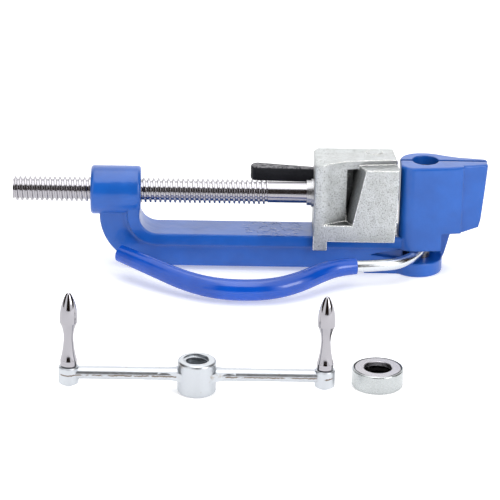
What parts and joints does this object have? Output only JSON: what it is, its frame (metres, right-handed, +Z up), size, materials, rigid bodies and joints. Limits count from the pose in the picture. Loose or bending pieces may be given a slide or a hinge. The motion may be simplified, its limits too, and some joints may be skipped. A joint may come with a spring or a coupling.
{
  "type": "steel band tensioner",
  "caption": "Hand-cranked steel band tensioner and cutter: cast C frame, sliding gripper block on a long screw, swing cutter lever, detached crank and bearing.",
  "frame": {"origin": "the foot's underside on the cutter's axis, on the surface that the tool rests on", "axes": "+X along the beam towards the nose, +Y away from the lever, +Z up along the cutter's axis"},
  "size_m": [0.3049, 0.2286, 0.0772],
  "materials": {
    "blue_enamel": "gloss enamel on a casting",
    "blue_vinyl": "glossy dipped vinyl",
    "turned_steel": "turned, plain",
    "zinc_rod": "bright zinc plate",
    "black_steel": "black oxide",
    "zinc_casting": "zinc-plated casting, grainy",
    "chromed_screw": "chrome plate on a rolled thread",
    "black_lever": "black finish, worn on top",
    "zinc_crank": "bright zinc plate on a casting",
    "chromed_handle": "polished chrome",
    "zinc_shell": "zinc-plated pressed sheet",
    "ground_steel": "ground"
  },
  "bodies": {
    "frame": {"frame_casting": "blue_enamel"},
    "cutter": {"cutter_shaft": "turned_steel", "cutter_lever_rod": "zinc_rod", "cutter_lever_grip": "blue_vinyl", "lever_set_screw": "black_steel", "cutter_washer": "turned_steel", "cutter_snap_ring": "black_steel"},
    "carriage": {"gripper_block": "zinc_casting", "tension_screw": "chromed_screw", "screw_seat_washer": "turned_steel", "screw_shim_washers": "turned_steel", "screw_cross_pin": "turned_steel", "gripper_pin": "turned_steel"},
    "gripper": {"gripper_lever": "black_lever"},
    "crank": {"crank_arm": "zinc_crank", "spindle_left": "turned_steel", "spindle_right": "turned_steel"},
    "grip_left": {"crank_grip_left": "chromed_handle"},
    "grip_right": {"crank_grip_right": "chromed_handle"},
    "bearing": {"bearing_shroud": "zinc_shell", "bearing_lower_race": "ground_steel"},
    "bearing_top": {"bearing_upper_race": "ground_steel"},
    "bearing_cage_set": {"bearing_cage": "turned_steel", "bearing_balls": "ground_steel"}
  },
  "joints": [
    {"name": "cutter_swing", "type": "hinge", "parent": "frame", "child": "cutter", "pos_m": [0, 0, 0.014], "axis": [0, 0, 1], "range_deg": [0, 55]},
    {"name": "carriage_slide", "type": "slide", "parent": "frame", "child": "carriage", "axis": [-1, 0, 0], "range_m": [0, 0.065]},
    {"name": "gripper_swing", "type": "hinge", "parent": "carriage", "child": "gripper", "pos_m": [-0.0325, 0.0095, 0.06], "axis": [0, 0, 1], "range_deg": [-35, 0]},
    {"name": "crank_lift", "type": "slide", "parent": "frame", "child": "crank", "axis": [0, 0, 1], "range_m": [0, 0.08]},
    {"name": "grip_left_spin", "type": "hinge", "parent": "crank", "child": "grip_left", "pos_m": [-0.2205, -0.196, 0.02], "axis": [0, 0, 1], "continuous": true},
    {"name": "grip_right_spin", "type": "hinge", "parent": "crank", "child": "grip_right", "pos_m": [-0.0695, -0.196, 0.02], "axis": [0, 0, 1], "continuous": true},
    {"name": "bearing_lift", "type": "slide", "parent": "frame", "child": "bearing", "axis": [0, 0, 1], "range_m": [0, 0.08]},
    {"name": "race_spin", "type": "hinge", "parent": "bearing", "child": "bearing_top", "pos_m": [-0.0375, -0.183, 0.009], "axis": [0, 0, 1], "continuous": true},
    {"name": "cage_spin", "type": "hinge", "parent": "bearing", "child": "bearing_cage_set", "pos_m": [-0.0375, -0.183, 0.006], "axis": [0, 0, 1], "continuous": true}
  ]
}
